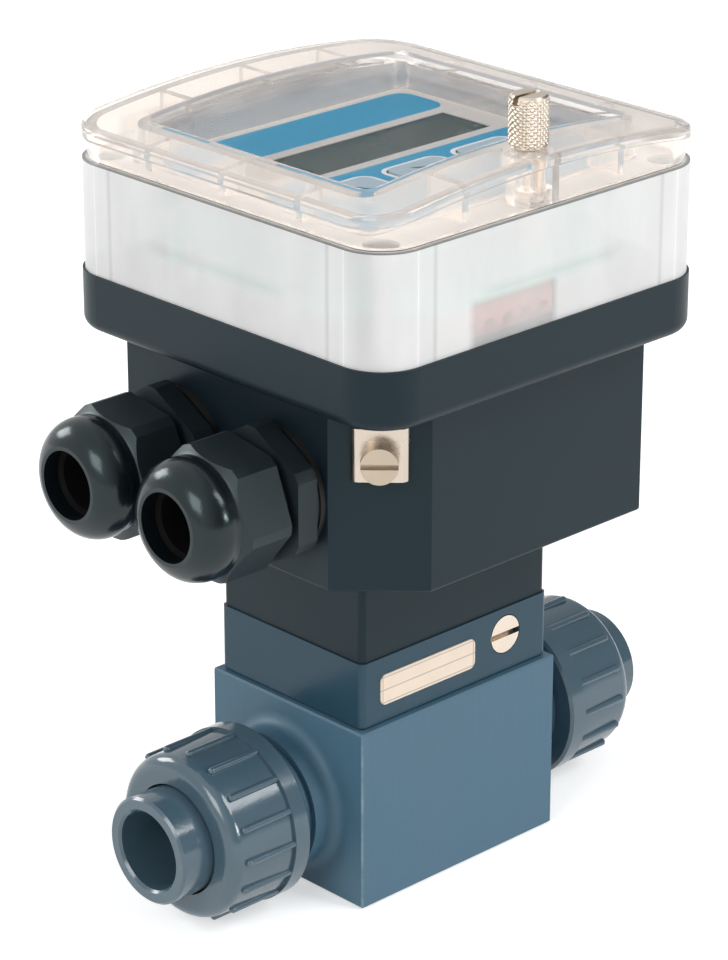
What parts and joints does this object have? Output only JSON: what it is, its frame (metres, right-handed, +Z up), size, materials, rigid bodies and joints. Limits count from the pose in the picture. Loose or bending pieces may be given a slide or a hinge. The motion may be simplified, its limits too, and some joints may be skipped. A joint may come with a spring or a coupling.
{
  "type": "paddle wheel flow meter",
  "caption": "Paddle wheel flow meter: pipe block with union ends, plug-in sensor holder, black head with cable glands, clear cover and hinged clear lid over a display with keys.",
  "frame": {"origin": "centre of the underside of the pipe block", "axes": "+Z up, +X along the pipe towards the outlet, -Y the front of the head, cable glands on -X"},
  "size_m": [0.1287, 0.0933, 0.1653],
  "materials": {
    "pvc_block": "sawn and milled, satin",
    "pvc_moulded": "moulded, half gloss",
    "black_housing": "satin",
    "black_gland": "half gloss",
    "rubber": "matt",
    "steel": "bright",
    "nickel": "nickel plated",
    "plate": "printed film, bare",
    "wheel": "satin",
    "bearing": "half gloss",
    "magnet": "plain",
    "probe": "half gloss",
    "frosted_clear": "frosted clear",
    "clear": "polished clear",
    "carrier": "satin",
    "foil": "printed film",
    "lcd": "dark glass",
    "key": "satin",
    "switch": "plain",
    "board": "solder mask",
    "terminal": "plain"
  },
  "bodies": {
    "meter": {"board_connector": "switch", "board_pillars": "nickel", "board_screws": "steel", "clear_cover": "frosted_clear", "cover_gasket": "rubber", "cover_screws": "steel", "display_board": "board", "display_carrier": "carrier", "display_foil": "foil", "fitting_block": "pvc_block", "front_bearing": "bearing", "front_gland_body": "black_gland", "front_gland_locknut": "black_gland", "front_gland_seal": "rubber", "front_gland_washer": "rubber", "ground_clip": "nickel", "ground_screw": "nickel", "ground_washer": "nickel", "hall_probe": "probe", "head_housing": "black_housing", "hinge_pins": "steel", "holder_screws": "steel", "holder_seal": "rubber", "inlet_union_end": "pvc_moulded", "inlet_union_seal": "rubber", "lcd_module": "lcd", "left_switch": "switch", "lid_gasket": "rubber", "locking_screw": "nickel", "middle_switch": "switch", "outlet_union_end": "pvc_moulded", "outlet_union_seal": "rubber", "rating_plate": "plate", "rear_bearing": "bearing", "rear_gland_body": "black_gland", "rear_gland_locknut": "black_gland", "rear_gland_seal": "rubber", "rear_gland_washer": "rubber", "right_switch": "switch", "screw_insert": "nickel", "sensor_holder": "pvc_moulded", "terminal_block": "terminal", "terminal_board": "board"},
    "lid": {"lid": "clear"},
    "thumb_screw": {"thumb_screw": "nickel", "screw_clip": "steel"},
    "paddle": {"paddle_wheel": "wheel", "wheel_axle": "steel", "magnet_1": "magnet", "magnet_2": "magnet", "magnet_3": "magnet", "magnet_4": "magnet"},
    "inlet_nut": {"inlet_union_nut": "pvc_moulded"},
    "outlet_nut": {"outlet_union_nut": "pvc_moulded"},
    "front_gland_cap": {"front_gland_nut": "black_gland"},
    "rear_gland_cap": {"rear_gland_nut": "black_gland"},
    "left_button": {"left_key": "key"},
    "middle_button": {"middle_key": "key"},
    "right_button": {"right_key": "key"}
  },
  "joints": [
    {"name": "lid_hinge", "type": "hinge", "parent": "meter", "child": "lid", "pos_m": [0, 0.0466, 0.1449], "axis": [-1, 0, 0], "range_deg": [0, 105]},
    {"name": "thumb_screw_turn", "type": "hinge", "parent": "lid", "child": "thumb_screw", "pos_m": [0, -0.0376, 0.1551], "axis": [0, 0, 1], "continuous": true},
    {"name": "paddle_spin", "type": "hinge", "parent": "meter", "child": "paddle", "pos_m": [0, 0, 0.024], "axis": [0, 1, 0], "continuous": true},
    {"name": "inlet_nut_turn", "type": "hinge", "parent": "meter", "child": "inlet_nut", "pos_m": [-0.0453, 0, 0.0182], "axis": [-1, 0, 0], "continuous": true},
    {"name": "outlet_nut_turn", "type": "hinge", "parent": "meter", "child": "outlet_nut", "pos_m": [0.0453, 0, 0.0182], "axis": [1, 0, 0], "continuous": true},
    {"name": "front_gland_cap_turn", "type": "hinge", "parent": "meter", "child": "front_gland_cap", "pos_m": [-0.0553, -0.0085, 0.0891], "axis": [-1, 0, 0], "continuous": true},
    {"name": "rear_gland_cap_turn", "type": "hinge", "parent": "meter", "child": "rear_gland_cap", "pos_m": [-0.0553, 0.02, 0.0891], "axis": [-1, 0, 0], "continuous": true},
    {"name": "left_key_press", "type": "slide", "parent": "meter", "child": "left_button", "axis": [0, 0, -1], "range_m": [0, 0.0004], "stiffness_N_per_m": 1500},
    {"name": "middle_key_press", "type": "slide", "parent": "meter", "child": "middle_button", "axis": [0, 0, -1], "range_m": [0, 0.0004], "stiffness_N_per_m": 1500},
    {"name": "right_key_press", "type": "slide", "parent": "meter", "child": "right_button", "axis": [0, 0, -1], "range_m": [0, 0.0004], "stiffness_N_per_m": 1500}
  ]
}
